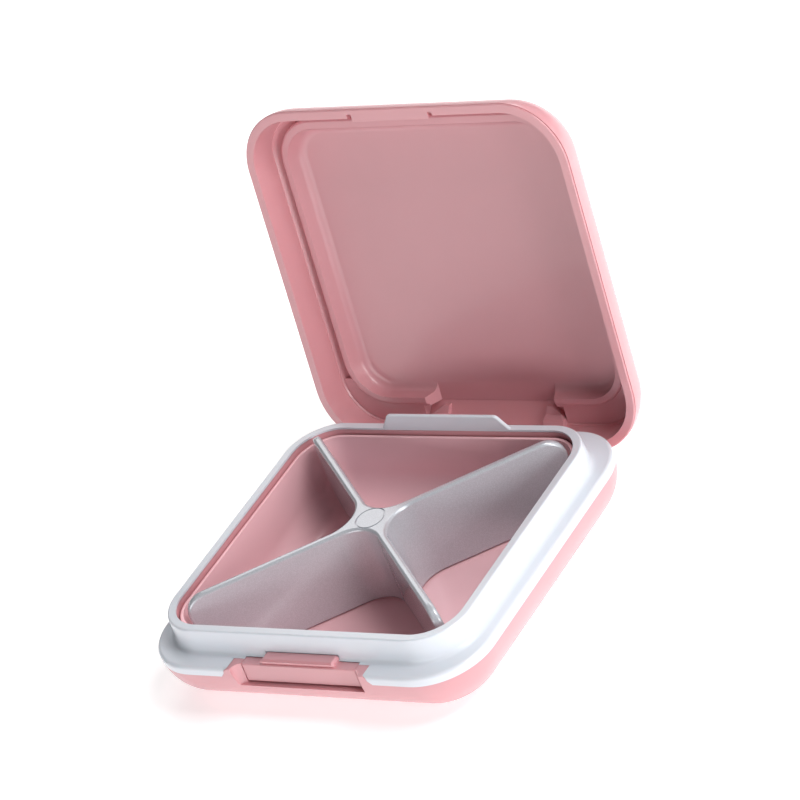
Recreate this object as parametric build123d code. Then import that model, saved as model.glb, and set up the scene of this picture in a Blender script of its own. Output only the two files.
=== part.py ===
from build123d import *
import math
import os

# A hinged pocket case with four compartments: a two-part base with a white seal ring, a drop-in
# tray, a lift-out cross divider, a press latch and a two-part lid that turns on two short pins.
# Millimetres. +Z up, origin at the centre of the flat rest face, latch at -Y, hinge at +Y.

# --- Driving dimensions ---------------------------------------------------------------------
CASE_X = 39.0            # half width of the base
CASE_Y = 37.2            # half depth of the base
CASE_R = 12.7            # plan corner radius of the base
BELLY_R = 11.0           # rounding between the base's sides and its flat bottom
RIM_Z = 12.0             # top of the white flange
FLANGE = 1.93            # thickness of the white flange
WALL = 1.4               # base shell wall
RING_UP = 5.4            # height of the seal ring above the flange
LID_GAP = 0.25           # closed gap between flange and lid
LID_X = 38.8             # half width of the lid's rim
LID_Y = 37.69            # half depth of the lid's rim
LID_R = 12.93            # plan corner radius of the lid
LID_H = 11.0             # height of the lid above its rim
HINGE_Y = 35.4           # hinge axis
HINGE_Z = 8.2
OPEN_DEG = 101.0         # lid angle when it rests fully open
FIT = 0.05               # clearance between pieces that are clipped together

# --- Seal ring and collar -------------------------------------------------------------------
RING_Y0 = -0.19          # the ring sits slightly forward of the case centre
RING_X = 35.6            # outer half width at the ring's top
RING_Y = 32.28
RING_R = 10.05
RING_DRAFT = 0.3         # the ring wall is this much wider at the flange
LIP = 1.77               # width of the ring's top face
LIP_THICK = 0.45         # thickness of the lip over the collar
COLLAR = 0.85            # collar wall thickness
FLANGE_Z = RIM_Z - FLANGE
RING_TOP = RIM_Z + RING_UP
TAB_TOP = RIM_Z + 8.7    # rear tab
TAB_HALF_TOP = 13.2
TAB_HALF_FOOT = 15.6
TAB_THICK = 0.8

# --- Tray and divider -----------------------------------------------------------------------
TRAY_TOP = RING_TOP - 1.5
TRAY_GAP = 0.3           # gap between tray rim and collar
TRAY_RIM = 0.7           # tray wall at the rim
TRAY_DRAFT = 4.0         # degrees
TRAY_FLOOR = 2.4         # top face of the tray floor
TRAY_SKIN = 0.8          # tray floor thickness
TRAY_ROUND = 5.5         # inner rounding between tray walls and floor
DIV_TOP = RIM_Z + 7.5
DIV_TOP_W = 1.7          # blade width at the top
DIV_FOOT_W = 2.8         # blade width at the floor
DIV_REACH = 40.3         # blade half length along its diagonal
DIV_END_R = 4.2          # rounding of the blade's upper end
DIV_ANGLE = 41.2         # blade direction from the X axis, degrees
HUB_R = 7.0              # fillets between the blades

# --- Latch ----------------------------------------------------------------------------------
BOSS_HALF = 17.2         # half width of the boss that breaks through the flange
BOSS_BACK = -33.85
SCOOP_HALF = 15.5        # finger scoop in the boss, narrowing towards its floor
SCOOP_R = 2.0
SCOOP_Y = -35.25
SCOOP_Z = 7.65
SCOOP_TAPER = 5.0        # degrees
BUTTON_HALF = 13.6
BUTTON_BACK = -33.2
BUTTON_TRAVEL = 0.45
HOOK_HALF = 8.67
HOOK_BACK = -32.75
HOOK_TOP = RIM_Z + 1.1
SPRING_X = 7.0
SPRING_Z = 9.2
SPRING_R = 0.75
SPRING_WIRE = 0.15

# --- Hinge ----------------------------------------------------------------------------------
KNUCKLE_HALF = 12.05
KNUCKLE_R = 2.0
PIN_R = 0.75
PIN_INNER = 4.5
PIN_OUTER = 15.8
HINGE_SLOT = 12.35       # half width of the slot in the base
HINGE_SLOT_R = 2.35

# --- Lid interior, as depths below the rim plane --------------------------------------------
LID_Z = RIM_Z + LID_GAP
LID_WALL = 1.1
RIM_BAND = 1.85          # width of the lid's rim face
SEAT = 5.6               # depth at which the liner's space begins
GROOVE = 6.3             # depth of the groove floor around the rib
CREST = 5.3              # depth of the rib's crest
PANEL = 8.8              # depth of the panel inside the rib
LINER_BACK = 9.8
RIB_Y0 = -1.6
RIB_X = 34.1             # outer half width of the rib
RIB_Y = 32.0
RIB_R = 9.5
DISH_Y0 = -1.45          # opening inside the rib
DISH_X = 32.5
DISH_Y = 30.25
DISH_R = 7.9
RIB_GAP_HALF = 15.9      # the rib stops at the sides of the tab pocket
PANEL_Y0 = -0.95         # the panel is smaller than the rib, with soft slopes between them
PANEL_X = 31.2
PANEL_Y = 29.35
PANEL_R = 6.5
LEDGE_START = 24.8       # the liner's ledge runs round the rear corners from here


def prism(half_x, half_y, radius, bottom, top, centre_y=0.0, taper=0.0):
    """Rounded rectangle from bottom to top, or from bottom down to top; taper narrows it."""
    outline = Pos(0, centre_y, bottom) * RectangleRounded(2 * half_x, 2 * half_y, radius)
    direction = (0, 0, 1) if top > bottom else (0, 0, -1)
    return extrude(outline, amount=abs(top - bottom), dir=direction, taper=taper)


def lowest_edges(solid):
    return solid.edges().group_by(Axis.Z)[0]


def highest_edges(solid):
    return solid.edges().group_by(Axis.Z)[-1]


def block(x0, x1, y0, y1, z0, z1):
    """Box between two corners."""
    size = (x1 - x0, y1 - y0, z1 - z0)
    middle = ((x0 + x1) / 2, (y0 + y1) / 2, (z0 + z1) / 2)
    return Pos(*middle) * Box(*size)


def profile_yz(points, half_width):
    """Closed outline in the Y-Z plane, thickened both ways along X."""
    face = make_face(Polyline(*[(0, y, z) for y, z in points], close=True))
    return extrude(face, amount=half_width, dir=(1, 0, 0), both=True)


def profile_xz(points, y0, y1):
    """Closed outline in the X-Z plane, extruded from y0 to y1."""
    face = make_face(Polyline(*[(x, y0, z) for x, z in points], close=True))
    return extrude(face, amount=y1 - y0, dir=(0, 1, 0))


def rod_x(radius, x0, x1, y, z):
    """Round rod along X."""
    return Pos((x0 + x1) / 2, y, z) * Rot(0, 90, 0) * Cylinder(radius, x1 - x0)


def mirrored(solid):
    return mirror(solid, about=Plane.YZ)


# --- Base -----------------------------------------------------------------------------------
def hull():
    """Outer form of the base: vertical for the top millimetre, then one round to the bottom."""
    body = prism(CASE_X, CASE_Y, CASE_R, 0, RIM_Z)
    return fillet(lowest_edges(body), BELLY_R)


def boss_form(grow=0.0):
    """The front boss: a wall section with rounded shoulders that breaks through the flange."""
    half = BOSS_HALF + grow
    spread = 1.0
    shoulder = 1.1
    points = [
        (-half - spread, 6.0),
        (-half - spread, FLANGE_Z - 0.2),
        (-half - 0.35, FLANGE_Z + 0.5),
        (-half, RIM_Z - shoulder),
        (-half + 0.25 * shoulder, RIM_Z - 0.3 * shoulder),
        (-half + shoulder, RIM_Z + grow),
    ]
    points += [(-x, z) for x, z in reversed(points)]
    return profile_xz(points, -CASE_Y - 1.0, BOSS_BACK + grow)


def hinge_slot():
    """Space that the lid's knuckle and its arm sweep through."""
    round_part = rod_x(HINGE_SLOT_R, -HINGE_SLOT, HINGE_SLOT, HINGE_Y, HINGE_Z)
    above = block(-HINGE_SLOT, HINGE_SLOT, HINGE_Y - HINGE_SLOT_R, CASE_Y + 1, HINGE_Z, RING_TOP)
    behind = block(-HINGE_SLOT, HINGE_SLOT, HINGE_Y, CASE_Y + 1, HINGE_Z - HINGE_SLOT_R, RING_TOP)
    return round_part + above + behind


def base_shell():
    outer = hull()
    inner = prism(CASE_X - WALL, CASE_Y - WALL, CASE_R - WALL, WALL, RIM_Z + 1)
    inner = fillet(lowest_edges(inner), BELLY_R - WALL)
    upper = block(-50, 50, -50, 50, FLANGE_Z, RIM_Z + 1)
    shell = outer - inner - upper
    shell += boss_form() & outer
    shell += block(-16.2, 16.2, 32.3, CASE_Y, 4.4, FLANGE_Z - FIT) & outer
    shell -= hinge_slot()
    for x0, x1 in ((-17, -HINGE_SLOT), (HINGE_SLOT, 17)):
        shell -= rod_x(PIN_R + 0.02, x0, x1, HINGE_Y, HINGE_Z)
    scoop = prism(SCOOP_HALF, 5.0, SCOOP_R, RIM_Z + 0.5, SCOOP_Z, centre_y=SCOOP_Y - 5.0,
                  taper=SCOOP_TAPER)
    window = block(-BUTTON_HALF - 0.1, BUTTON_HALF + 0.1, -40, -30, SCOOP_Z, RIM_Z + 1)
    ears = block(-15.4, 15.4, -33.9, -30, 8.0, 10.0)
    return shell - scoop - window - ears


def base_frame():
    """Collar that carries the ring and guides the tray, with a shelf that plugs the shell."""
    x, y, r = RING_X - LIP, RING_Y - LIP, RING_R - LIP
    top = RING_TOP - LIP_THICK - FIT
    collar = prism(x + COLLAR, y + COLLAR, r + COLLAR, 7.0, top, RING_Y0)
    shelf = prism(CASE_X - WALL - FIT, CASE_Y - WALL - FIT, CASE_R - WALL, 8.6, FLANGE_Z - FIT)
    shelf -= block(-18.6, 18.6, -40, -31.0, 8, 11)
    shelf -= block(-16.4, 16.4, 32.2, 40, 8, 11)
    bowl = prism(CASE_X - WALL - FIT, CASE_Y - WALL - FIT, CASE_R - WALL, WALL, RIM_Z)
    bowl = fillet(lowest_edges(bowl), BELLY_R - WALL)
    frame = collar + (shelf & bowl)
    return frame - prism(x, y, r, 0, RIM_Z + 20, RING_Y0)


def rear_tab():
    """Upright tab on the ring's rear wall, flush with the ring's inner face."""
    y0 = RING_Y0 + RING_Y - LIP
    points = [
        (-TAB_HALF_FOOT, RING_TOP - 0.3),
        (-TAB_HALF_FOOT, RING_TOP),
        (-TAB_HALF_TOP, TAB_TOP),
        (TAB_HALF_TOP, TAB_TOP),
        (TAB_HALF_FOOT, RING_TOP),
        (TAB_HALF_FOOT, RING_TOP - 0.3),
    ]
    tab = profile_xz(points, y0, y0 + TAB_THICK)
    corners = tab.edges().filter_by(Axis.Y).group_by(Axis.Z)[-1]
    tab = fillet(corners, 1.2)
    return fillet(highest_edges(tab).filter_by(Axis.X), 0.35)


def seal_ring():
    wall = prism(RING_X + RING_DRAFT, RING_Y + RING_DRAFT, RING_R + RING_DRAFT, RIM_Z, RING_TOP,
                 RING_Y0, taper=math.degrees(math.atan(RING_DRAFT / RING_UP)))
    wall = fillet(highest_edges(wall), 0.4)
    flange = hull() & block(-50, 50, -50, 50, FLANGE_Z, RIM_Z)
    flange = fillet(highest_edges(flange), 0.75)
    ring = flange + wall
    foot = [e for e in ring.edges() if abs(e.center().Z - RIM_Z) < 0.01
            and abs(e.bounding_box().min.Z - RIM_Z) < 0.01
            and abs(e.center().Y) < RING_Y + 0.5 and abs(e.center().X) < RING_X + 0.5]
    ring = fillet(foot, 1.0)
    x, y, r = RING_X - LIP, RING_Y - LIP, RING_R - LIP
    ring -= prism(x, y, r, 0, RING_TOP + 1, RING_Y0)
    ring -= prism(x + COLLAR + FIT, y + COLLAR + FIT, r + COLLAR, 0, RING_TOP - LIP_THICK, RING_Y0)
    ring -= boss_form(grow=FIT)
    for half, back, top in ((BUTTON_HALF, BUTTON_BACK, RIM_Z + 0.02), (HOOK_HALF, HOOK_BACK, HOOK_TOP)):
        pressed = back + BUTTON_TRAVEL + 0.1
        ring -= block(-half - 0.1, half + 0.1, -40, pressed, 0, top + 0.1)
    ring -= hinge_slot()
    return ring + rear_tab()


# --- Tray and divider -----------------------------------------------------------------------
def inner_tray():
    x = RING_X - LIP - TRAY_GAP
    y = RING_Y - LIP - TRAY_GAP
    r = RING_R - LIP - TRAY_GAP
    outer = prism(x, y, r, TRAY_TOP, TRAY_FLOOR - TRAY_SKIN, RING_Y0, taper=TRAY_DRAFT)
    outer = fillet(lowest_edges(outer), TRAY_ROUND + 0.4)
    hollow = prism(x - TRAY_RIM, y - TRAY_RIM, r - TRAY_RIM, TRAY_TOP, TRAY_FLOOR, RING_Y0,
                   taper=TRAY_DRAFT)
    hollow = fillet(lowest_edges(hollow), TRAY_ROUND)
    tray = outer - hollow
    return fillet(highest_edges(tray), 0.2)


def blade():
    """One full-length blade along X: thicker at the foot, its upper ends rounded over."""
    foot = TRAY_FLOOR + 0.1
    top = DIV_TOP
    section = make_face(Polyline(
        (-DIV_REACH, -DIV_FOOT_W / 2, foot), (-DIV_REACH, DIV_FOOT_W / 2, foot),
        (-DIV_REACH, DIV_TOP_W / 2, top), (-DIV_REACH, -DIV_TOP_W / 2, top), close=True))
    wedge = extrude(section, amount=2 * DIV_REACH, dir=(1, 0, 0))
    lean = math.tan(math.radians(TRAY_DRAFT)) * (TRAY_TOP - foot)
    side = make_face(Polyline(
        (-DIV_REACH, 0, top), (DIV_REACH, 0, top), (DIV_REACH, 0, TRAY_TOP),
        (DIV_REACH - lean, 0, foot), (-DIV_REACH + lean, 0, foot), (-DIV_REACH, 0, TRAY_TOP),
        close=True))
    side = extrude(side, amount=5, dir=(0, 1, 0), both=True)
    across = side.edges().filter_by(Axis.Y)
    side = fillet(across.group_by(Axis.Z)[-1], DIV_END_R)
    across = side.edges().filter_by(Axis.Y)
    side = fillet(across.group_by(Axis.Z)[0], TRAY_ROUND + 0.8)
    return wedge & side


def cross_divider():
    cross = Rot(0, 0, DIV_ANGLE) * blade() + Rot(0, 0, -DIV_ANGLE) * blade()
    hub = [e for e in cross.edges() if math.hypot(e.center().X, e.center().Y) < 4
           and e.bounding_box().size.Z > 10]
    cross = fillet(hub, HUB_R)
    rim = [e for e in cross.edges() if e.bounding_box().size.Z < 0.01
           and abs(e.center().Z - DIV_TOP) < 0.01 and e.length > 3.0]
    cross = fillet(rim, 0.6)
    dimple = Pos(0, 0, DIV_TOP) * (Cylinder(3.2, 0.4) - Cylinder(2.85, 1))
    return cross - dimple


# --- Latch ----------------------------------------------------------------------------------
def latch_button():
    """Press button with a tongue whose nose holds the lid's catch bar."""
    foot = SCOOP_Z + 0.4
    body = profile_yz([
        (-33.1, foot), (-35.55, foot), (-35.65, foot + 0.12), (-35.4, 11.75),
        (-35.25, RIM_Z - 0.03), (BUTTON_BACK, RIM_Z - 0.03), (BUTTON_BACK, 9.9), (-33.1, 9.9),
    ], BUTTON_HALF)
    body = fillet(body.edges().filter_by(Axis.Z, tolerance=25).group_by(Axis.Y)[0], 0.3)
    tongue = profile_yz([
        (HOOK_BACK, 10.5), (-35.0, 10.5), (-35.0, 12.66), (-35.4, 12.72), (-35.4, 12.86),
        (-34.85, HOOK_TOP), (HOOK_BACK, HOOK_TOP),
    ], HOOK_HALF)
    shoulders = tongue.edges().filter_by(Axis.Y).group_by(Axis.Z)[-1]
    tongue = fillet(shoulders, 0.6)
    stop = block(-15.2, 15.2, -33.8, -33.1, 8.2, 9.8)
    button = body + tongue + stop
    for x in (-SPRING_X, SPRING_X):
        button -= Pos(x, -33.1 - 0.65, SPRING_Z) * Rot(90, 0, 0) * Cylinder(SPRING_R + 0.2, 1.3)
    return button


def latch_spring(x):
    """Small coil spring between the frame and the button's blind hole, shown compressed."""
    front = -34.4 + BUTTON_TRAVEL + 0.1
    back = RING_Y0 - (RING_Y - LIP) - COLLAR - 0.02
    length = back - front - 2 * SPRING_WIRE
    coil = Helix(pitch=length / 3.5, height=length, radius=SPRING_R - SPRING_WIRE)
    start = Plane(origin=coil @ 0, z_dir=coil % 0)
    wire = sweep(start * Circle(SPRING_WIRE), path=coil)
    return Pos(x, back - SPRING_WIRE, SPRING_Z) * Rot(90, 0, 0) * wire


# --- Lid, drawn closed ----------------------------------------------------------------------
def deep(depth):
    """Height of a point that lies this far above the lid's rim plane."""
    return LID_Z + depth


def lid_bowl(inset, top):
    """The lid's outer form moved inwards by inset, from the rim plane up to top."""
    body = prism(LID_X - inset, LID_Y - inset, LID_R - inset, LID_Z, top)
    return fillet(highest_edges(body), LID_H - inset - 0.01)


def hinge_arm():
    """Knuckle and the arm that joins it to the lid's rear wall."""
    back = HINGE_Y + KNUCKLE_R
    arm = profile_yz([
        (HINGE_Y - 0.8, HINGE_Z), (back, HINGE_Z), (back, deep(1.5)), (35.6, deep(3.5)),
        (34.7, deep(1.2)), (34.3, deep(0)), (HINGE_Y - 0.8, deep(-1.2)),
    ], KNUCKLE_HALF)
    knuckle = rod_x(KNUCKLE_R, -KNUCKLE_HALF, KNUCKLE_HALF, HINGE_Y, HINGE_Z)
    return arm + knuckle


def hinge_roots():
    """Gusset blocks, splayed in plan, that stiffen the lid beside the knuckle."""
    side = profile_yz([
        (31.6, deep(9.0)), (31.6, deep(7.4)), (32.9, deep(6.4)), (33.4, deep(5.0)),
        (36.4, deep(3.2)), (36.4, deep(5.0)), (34.0, deep(9.0)),
    ], 20.0)
    plan = make_face(Polyline(
        (12.1, 31.6, 0), (13.4, 31.6, 0), (17.0, 33.6, 0), (17.0, 36.4, 0), (12.1, 36.4, 0),
        close=True))
    right = side & extrude(plan, amount=40, dir=(0, 0, 1))
    return right + mirrored(right)


def catch_bar():
    """Bar across the lid's front wall that the latch nose holds down."""
    return profile_yz([
        (-37.2, deep(0.05)), (-35.2, deep(0.05)), (-35.1, deep(0.12)), (-35.1, deep(0.3)),
        (-37.2, deep(0.7)),
    ], 9.22)


def lid_shell():
    outer = lid_bowl(0.0, deep(LID_H))
    outer = fillet(lowest_edges(outer), 0.25)
    mouth = prism(LID_X - RIM_BAND, LID_Y - RIM_BAND, LID_R - RIM_BAND, LID_Z, deep(SEAT),
                  taper=math.degrees(math.atan(0.85 / SEAT)))
    space = lid_bowl(LID_WALL, deep(LID_H - LID_WALL))
    space -= block(-50, 50, -50, 50, 0, deep(SEAT))
    notch = block(-10.3, 10.3, -36.7, -34, deep(-1), deep(1.9))
    seam = prism(LID_X + 1, LID_Y + 1, LID_R + 1, deep(0.2), deep(0.5))
    seam -= prism(LID_X - 0.35, LID_Y - 0.35, LID_R - 0.35, deep(0), deep(1))
    shell = outer - mouth - space - notch - seam
    shell += (hinge_arm() & block(-50, 50, 0, 50, 0, deep(0))) + (hinge_arm() & outer)
    shell += hinge_roots() & outer
    shell += catch_bar() & outer
    shell -= rod_x(PIN_R + 0.05, -20, 20, HINGE_Y, HINGE_Z)
    return shell


def lid_liner():
    """Inner panel of the lid, with the rib that meets the seal ring."""
    space = lid_bowl(LID_WALL + 0.1, deep(LINER_BACK))
    rib = prism(RIB_X, RIB_Y, RIB_R, deep(CREST), deep(LINER_BACK), RIB_Y0)
    rib = fillet(lowest_edges(rib), 0.6)
    dish = loft([
        Pos(0, DISH_Y0, deep(CREST)) * RectangleRounded(2 * DISH_X, 2 * DISH_Y, DISH_R),
        Pos(0, PANEL_Y0, deep(PANEL)) * RectangleRounded(2 * PANEL_X, 2 * PANEL_Y, PANEL_R)])
    dish = fillet(highest_edges(dish), 1.8)
    liner = ((rib & space) - dish) + (rear_ledge() & space)
    roots = block(11.0, 17.2, 30.9, 40, deep(0), deep(12))
    return liner - roots - mirrored(roots) - tab_pocket()


def rear_ledge():
    """Flange outside the rib, round the two rear corners and along the rear."""
    outside = prism(LID_X - 3.0, LID_Y - 3.0, LID_R - 3.0, deep(GROOVE - 0.4), deep(LINER_BACK))
    rear = block(-50, 50, LEDGE_START, 50, 0, deep(20))
    ledge = (outside & rear) - prism(RIB_X - 0.3, RIB_Y - 0.3, RIB_R, 0, deep(20), RIB_Y0)
    tips = ledge.edges().filter_by(Axis.Z).sort_by(Axis.Y)[:2]
    ledge = fillet(tips, 0.7)
    return ledge


def tab_pocket():
    """Gap in the rear rib, down to the panel, that clears the ring's tab while the lid turns."""
    gap = profile_xz([
        (-RIB_GAP_HALF - 0.6, deep(3.0)), (-RIB_GAP_HALF, deep(CREST)), (-14.4, deep(PANEL)),
        (14.4, deep(PANEL)), (RIB_GAP_HALF, deep(CREST)), (RIB_GAP_HALF + 0.6, deep(3.0)),
    ], 27.0, 40.0)
    return gap + block(-12.1, 12.1, 32.55, 40, deep(3), deep(12))


def opened(solid):
    """Turn a closed lid piece to the open position."""
    hinge = Axis((0, HINGE_Y, HINGE_Z), (1, 0, 0))
    return solid.rotate(hinge, -OPEN_DEG)


# --- Hinge pins -----------------------------------------------------------------------------
def hinge_pin(side):
    x0, x1 = sorted((side * PIN_INNER, side * PIN_OUTER))
    pin = rod_x(PIN_R, x0, x1, HINGE_Y, HINGE_Z)
    return chamfer(pin.edges(), 0.15)


def main():
    os.makedirs("parts", exist_ok=True)
    pieces = {
        "base_shell": base_shell(),
        "base_frame": base_frame(),
        "seal_ring": seal_ring(),
        "inner_tray": inner_tray(),
        "cross_divider": cross_divider(),
        "latch_button": latch_button(),
        "latch_spring_left": latch_spring(-SPRING_X),
        "latch_spring_right": latch_spring(SPRING_X),
        "hinge_pin_left": hinge_pin(-1),
        "hinge_pin_right": hinge_pin(1),
        "lid_shell": opened(lid_shell()),
        "lid_liner": opened(lid_liner()),
    }
    for name, solid in pieces.items():
        export_step(solid, f"parts/{name}.step")


main()
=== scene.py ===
import math
import bpy
from mathutils import Matrix, Vector


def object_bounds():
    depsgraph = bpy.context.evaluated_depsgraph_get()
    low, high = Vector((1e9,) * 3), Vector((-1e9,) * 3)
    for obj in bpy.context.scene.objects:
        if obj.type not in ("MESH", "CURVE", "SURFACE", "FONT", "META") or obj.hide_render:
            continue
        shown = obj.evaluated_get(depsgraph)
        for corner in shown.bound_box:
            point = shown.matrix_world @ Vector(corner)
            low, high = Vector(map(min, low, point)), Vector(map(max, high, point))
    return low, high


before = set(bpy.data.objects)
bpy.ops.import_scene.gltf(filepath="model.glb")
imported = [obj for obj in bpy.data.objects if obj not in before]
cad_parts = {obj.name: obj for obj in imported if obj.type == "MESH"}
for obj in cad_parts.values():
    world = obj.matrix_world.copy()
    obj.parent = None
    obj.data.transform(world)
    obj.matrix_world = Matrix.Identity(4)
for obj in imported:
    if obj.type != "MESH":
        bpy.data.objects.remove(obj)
cad_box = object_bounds()

# --- Camera ---------------------------------------------------------------------------------
# Three-quarter view from the front right, from above, with the case leaning to the left.
AZIMUTH = 43.11           # degrees; 0 looks along +Y
ELEVATION = 30.32
ROLL = 24.8               # the object's vertical leans this far to the left
DISTANCE = 0.8457         # metres from the target to the camera
TARGET = Vector((0.0020, 0.0197, 0.0332))
LENS = 194.6              # millimetres, on a sensor of this width
SENSOR = 36.0


def add_camera():
    """Camera on the line of sight through the target, rolled about it."""
    data = bpy.data.cameras.new("camera")
    data.lens = LENS
    data.sensor_width = SENSOR
    data.clip_start = 0.05
    data.clip_end = 20.0
    camera = bpy.data.objects.new("camera", data)
    bpy.context.scene.collection.objects.link(camera)
    azimuth, elevation, roll = (math.radians(a) for a in (AZIMUTH, ELEVATION, ROLL))
    back = Vector((math.sin(azimuth) * math.cos(elevation),
                   -math.cos(azimuth) * math.cos(elevation), math.sin(elevation)))
    right = Vector((math.cos(azimuth), math.sin(azimuth), 0.0))
    up = back.cross(right)
    turned_right = right * math.cos(roll) - up * math.sin(roll)
    turned_up = up * math.cos(roll) + right * math.sin(roll)
    rotation = Matrix((turned_right, turned_up, back)).transposed().to_4x4()
    camera.matrix_world = Matrix.Translation(TARGET + back * DISTANCE) @ rotation
    bpy.context.scene.camera = camera


# --- Materials ------------------------------------------------------------------------------
# Noise scales are repeats per metre, and relief depths are metres.
DRIFT_SCALE = 35.0        # slow drift of the colour over a moulding
GLOSS_SCALE = 90.0        # patches of more and less gloss
GLOSS_SPREAD = 0.05
PEEL_SCALE = 1500.0       # fine orange peel of a moulded skin
PEEL_DEPTH = 0.00002
COAT_ROUGHNESS = 0.12
SCATTER_RADIUS = (1.0, 0.45, 0.4)
SCATTER_SCALE = 0.002
FLAKE_SCALE = 5000.0      # mica flakes of about a fifth of a millimetre
PEARL_GLOSS_SCALE = 120.0
PEARL_PEEL_SCALE = 1200.0
PEARL_PEEL = 0.04
PEARL_METALLIC = 0.2
PEARL_COAT = 0.8
PEARL_COAT_ROUGHNESS = 0.08
LINE_SCALE = 3000.0       # drawn or ground lines in the steel
LINE_SPREAD = 0.08
LINE_RELIEF = 0.1
LINE_DEPTH = 0.00001


def new_material(name):
    """Empty node material with one principled shader."""
    material = bpy.data.materials.new(name)
    material.use_nodes = True
    tree = material.node_tree
    tree.nodes.clear()
    output = tree.nodes.new("ShaderNodeOutputMaterial")
    shader = tree.nodes.new("ShaderNodeBsdfPrincipled")
    tree.links.new(shader.outputs["BSDF"], output.inputs["Surface"])
    return material, tree, shader


def noise(tree, coords, scale, detail=2.0, stretch=None):
    """Noise texture in object space, in metres; stretch scales each axis."""
    texture = tree.nodes.new("ShaderNodeTexNoise")
    texture.inputs["Scale"].default_value = scale
    texture.inputs["Detail"].default_value = detail
    source = coords.outputs["Object"]
    if stretch:
        mapping = tree.nodes.new("ShaderNodeMapping")
        mapping.inputs["Scale"].default_value = stretch
        tree.links.new(source, mapping.inputs["Vector"])
        source = mapping.outputs["Vector"]
    tree.links.new(source, texture.inputs["Vector"])
    return texture


def tint(tree, texture, colour, spread):
    """Colour ramp that lets the colour drift by spread to either side."""
    ramp = tree.nodes.new("ShaderNodeValToRGB")
    ramp.color_ramp.elements[0].position = 0.3
    ramp.color_ramp.elements[1].position = 0.7
    ramp.color_ramp.elements[0].color = [c * (1.0 - spread) for c in colour] + [1.0]
    ramp.color_ramp.elements[1].color = [min(1.0, c * (1.0 + spread)) for c in colour] + [1.0]
    tree.links.new(texture.outputs["Fac"], ramp.inputs["Fac"])
    return ramp


def uneven(tree, texture, socket, middle, spread):
    """Vary a shader value round its middle."""
    spreader = tree.nodes.new("ShaderNodeMapRange")
    spreader.inputs["To Min"].default_value = middle - spread
    spreader.inputs["To Max"].default_value = middle + spread
    tree.links.new(texture.outputs["Fac"], spreader.inputs["Value"])
    tree.links.new(spreader.outputs["Result"], socket)


def relief(tree, texture, shader, strength, depth):
    """Fine bump from the texture."""
    bump = tree.nodes.new("ShaderNodeBump")
    bump.inputs["Strength"].default_value = strength
    bump.inputs["Distance"].default_value = depth
    tree.links.new(texture.outputs["Fac"], bump.inputs["Height"])
    tree.links.new(bump.outputs["Normal"], shader.inputs["Normal"])


def moulded(name, colour, roughness, coat=0.25, ior=1.5, subsurface=0.0, spread=0.03, peel=0.05):
    """Moulded plastic: faint colour drift, fine orange peel and uneven gloss."""
    material, tree, shader = new_material(name)
    coords = tree.nodes.new("ShaderNodeTexCoord")
    drift = noise(tree, coords, DRIFT_SCALE, detail=3.0)
    tree.links.new(tint(tree, drift, colour, spread).outputs["Color"], shader.inputs["Base Color"])
    patches = noise(tree, coords, GLOSS_SCALE, detail=4.0)
    uneven(tree, patches, shader.inputs["Roughness"], roughness, GLOSS_SPREAD)
    relief(tree, noise(tree, coords, PEEL_SCALE), shader, peel, PEEL_DEPTH)
    shader.inputs["IOR"].default_value = ior
    shader.inputs["Coat Weight"].default_value = coat
    shader.inputs["Coat Roughness"].default_value = COAT_ROUGHNESS
    shader.inputs["Subsurface Weight"].default_value = subsurface
    shader.inputs["Subsurface Radius"].default_value = SCATTER_RADIUS
    shader.inputs["Subsurface Scale"].default_value = SCATTER_SCALE
    return material


def pearl(name, colour, flake_colour, roughness):
    """Pearlescent plastic: fine mica flakes in the colour, under a clear glossy skin."""
    material, tree, shader = new_material(name)
    coords = tree.nodes.new("ShaderNodeTexCoord")
    flakes = tree.nodes.new("ShaderNodeTexVoronoi")
    flakes.inputs["Scale"].default_value = FLAKE_SCALE
    tree.links.new(coords.outputs["Object"], flakes.inputs["Vector"])
    ramp = tree.nodes.new("ShaderNodeValToRGB")
    ramp.color_ramp.elements[0].position = 0.1
    ramp.color_ramp.elements[1].position = 0.6
    ramp.color_ramp.elements[0].color = list(flake_colour) + [1.0]
    ramp.color_ramp.elements[1].color = list(colour) + [1.0]
    tree.links.new(flakes.outputs["Distance"], ramp.inputs["Fac"])
    tree.links.new(ramp.outputs["Color"], shader.inputs["Base Color"])
    patches = noise(tree, coords, PEARL_GLOSS_SCALE, detail=4.0)
    uneven(tree, patches, shader.inputs["Roughness"], roughness, GLOSS_SPREAD)
    relief(tree, noise(tree, coords, PEARL_PEEL_SCALE), shader, PEARL_PEEL, PEEL_DEPTH)
    shader.inputs["Metallic"].default_value = PEARL_METALLIC
    shader.inputs["Coat Weight"].default_value = PEARL_COAT
    shader.inputs["Coat Roughness"].default_value = PEARL_COAT_ROUGHNESS
    return material


def wire_steel(name, colour, roughness, stretch):
    """Steel with fine drawn or ground lines along one axis."""
    material, tree, shader = new_material(name)
    coords = tree.nodes.new("ShaderNodeTexCoord")
    lines = noise(tree, coords, LINE_SCALE, stretch=stretch)
    shade = tint(tree, lines, colour, LINE_SPREAD)
    tree.links.new(shade.outputs["Color"], shader.inputs["Base Color"])
    uneven(tree, lines, shader.inputs["Roughness"], roughness, LINE_SPREAD)
    relief(tree, lines, shader, LINE_RELIEF, LINE_DEPTH)
    shader.inputs["Metallic"].default_value = 1.0
    return material


PINK = (0.69, 0.32, 0.35)
# The lid liner's pink is a darker copy of the shell's pink: painted shade, standing in for the shade
# inside the open lid.
PINK_LINER_PAINTED_SHADE = (0.63, 0.29, 0.32)
# The tray's pink is a much lighter copy of the shell's pink: painted light, standing in for the
# light that the tray's shaded walls would catch.
PINK_TRAY_PAINTED_LIGHT = (0.98, 0.58, 0.62)
WHITE = (0.74, 0.77, 0.83)
PEARL = (0.52, 0.54, 0.58)
PEARL_FLAKE = (0.63, 0.66, 0.71)
STEEL = (0.62, 0.62, 0.64)

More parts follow.
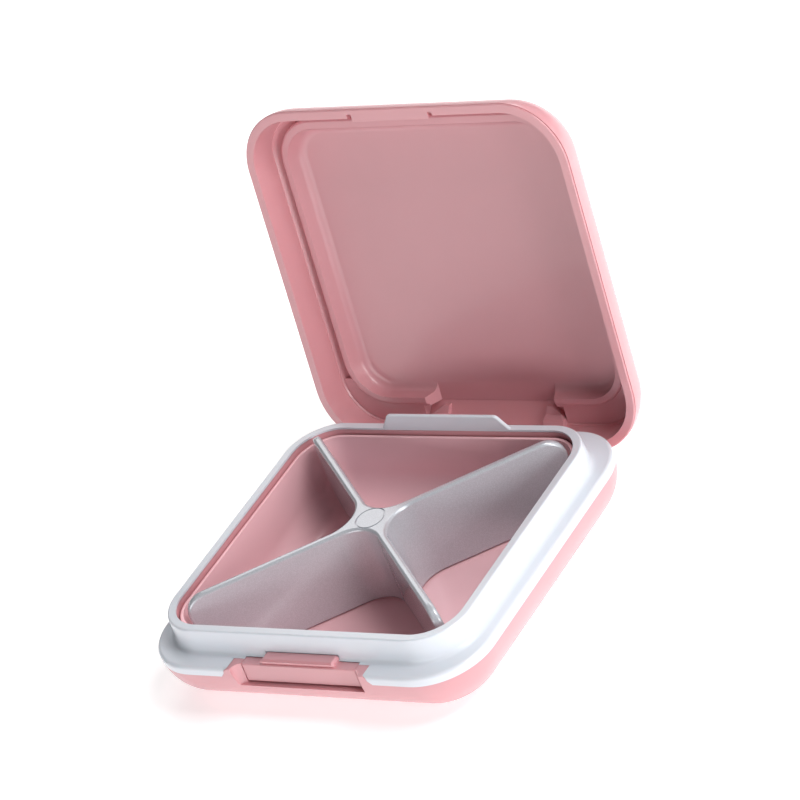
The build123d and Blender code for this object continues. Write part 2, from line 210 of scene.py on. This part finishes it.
MATERIALS = {
    "pink_shell": moulded("pink_shell", PINK, 0.38, coat=0.4, ior=1.8, subsurface=0.15),
    # Darker copy of the shell's pink on the lid liner: painted shade inside the lid.
    "pink_liner": moulded("pink_liner", PINK_LINER_PAINTED_SHADE, 0.42, coat=0.4, ior=1.8, subsurface=0.1),
    # Lighter copy of the shell's pink on the inner tray: painted light on the tray's walls.
    "pink_tray": moulded("pink_tray", PINK_TRAY_PAINTED_LIGHT, 0.3, coat=0.5, ior=1.6, peel=0.03),
    "white_seal": moulded("white_seal", WHITE, 0.34, coat=0.5, subsurface=0.1, spread=0.015),
    "pearl": pearl("pearl", PEARL, PEARL_FLAKE, 0.24),
    "spring_steel": wire_steel("spring_steel", STEEL, 0.3, (1.0, 0.1, 1.0)),
    "pin_steel": wire_steel("pin_steel", STEEL, 0.25, (0.05, 1.0, 1.0)),
}
NODE_MATERIAL = {
    "base_shell": "pink_shell", "base_frame": "pink_shell", "latch_button": "pink_shell",
    "lid_shell": "pink_shell", "lid_liner": "pink_liner", "inner_tray": "pink_tray",
    "seal_ring": "white_seal", "cross_divider": "pearl",
    "latch_spring_left": "spring_steel", "latch_spring_right": "spring_steel",
    "hinge_pin_left": "pin_steel", "hinge_pin_right": "pin_steel",
}


def dress_nodes():
    """Give every CAD node its material."""
    for name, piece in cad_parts.items():
        piece.data.materials.clear()
        piece.data.materials.append(MATERIALS[NODE_MATERIAL[name]])


# --- Stage ----------------------------------------------------------------------------------
FLOOR_SIZE = 6.0          # metres
FLOOR_COLOUR = (0.92, 0.92, 0.92, 1.0)
FLOOR_ROUGHNESS = 0.7
FLOOR_GLOW = 0.5          # light that the floor gives off by itself
SKY_SEEN = 0.53           # brightness of the backdrop, the same as the distant floor's
SKY_LIGHT = 0.07          # the backdrop lights the case far more faintly than it looks
SOFTBOXES = (
    # name, place, aim, size (metres), power (watts)
    ("right_low", (0.6, -0.15, 0.15), (0, 0, 0.03), (0.25, 0.25), 1.6),
    ("right_back", (0.45, 0.5, 0.3), (0, 0.02, 0.04), (0.5, 0.4), 0.8),
    ("right_top", (0.4, 0.07, 0.55), (0, 0.02, 0.04), (0.3, 0.3), 2.5),
    ("front_low", (-0.1, -0.7, 0.12), (0, 0, 0.03), (0.6, 0.2), 1.5),
    ("back_left", (-0.35, 0.6, 0.5), (0, 0, 0.03), (0.5, 0.5), 1.5),
    ("back_high", (-0.1, 0.6, 0.6), (0, 0, 0.03), (0.5, 0.5), 1.8),
)


def add_floor():
    """Plain white floor that gives off a little light, as a lit studio table does."""
    bpy.ops.mesh.primitive_plane_add(size=FLOOR_SIZE, location=(0, 0, cad_box[0][2]))
    floor = bpy.context.object
    floor.name = "floor"
    material, tree, shader = new_material("floor")
    shader.inputs["Base Color"].default_value = FLOOR_COLOUR
    shader.inputs["Roughness"].default_value = FLOOR_ROUGHNESS
    shader.inputs["Emission Color"].default_value = (1.0, 1.0, 1.0, 1.0)
    shader.inputs["Emission Strength"].default_value = FLOOR_GLOW
    floor.data.materials.append(material)


def add_area(name, place, aim, size, power):
    """Rectangular soft box at place, facing aim."""
    data = bpy.data.lights.new(name, "AREA")
    data.shape = "RECTANGLE"
    data.size, data.size_y = size
    data.energy = power
    light = bpy.data.objects.new(name, data)
    bpy.context.scene.collection.objects.link(light)
    direction = Vector(aim) - Vector(place)
    light.rotation_euler = direction.to_track_quat("-Z", "Y").to_euler()
    light.location = place


def add_lights():
    """Soft boxes, and a pale backdrop above the horizon that itself lights the case only faintly."""
    world = bpy.data.worlds.new("studio")
    bpy.context.scene.world = world
    world.use_nodes = True
    tree = world.node_tree
    background = tree.nodes["Background"]
    background.inputs["Color"].default_value = (1, 1, 1, 1)
    path = tree.nodes.new("ShaderNodeLightPath")
    backdrop = tree.nodes.new("ShaderNodeMapRange")
    backdrop.inputs["To Min"].default_value = SKY_LIGHT
    backdrop.inputs["To Max"].default_value = SKY_SEEN
    tree.links.new(path.outputs["Is Camera Ray"], backdrop.inputs["Value"])
    tree.links.new(backdrop.outputs["Result"], background.inputs["Strength"])
    for name, place, aim, size, power in SOFTBOXES:
        add_area(name, place, aim, size, power)


add_camera()
dress_nodes()
add_floor()
add_lights()
bpy.context.scene.view_settings.view_transform = "Standard"
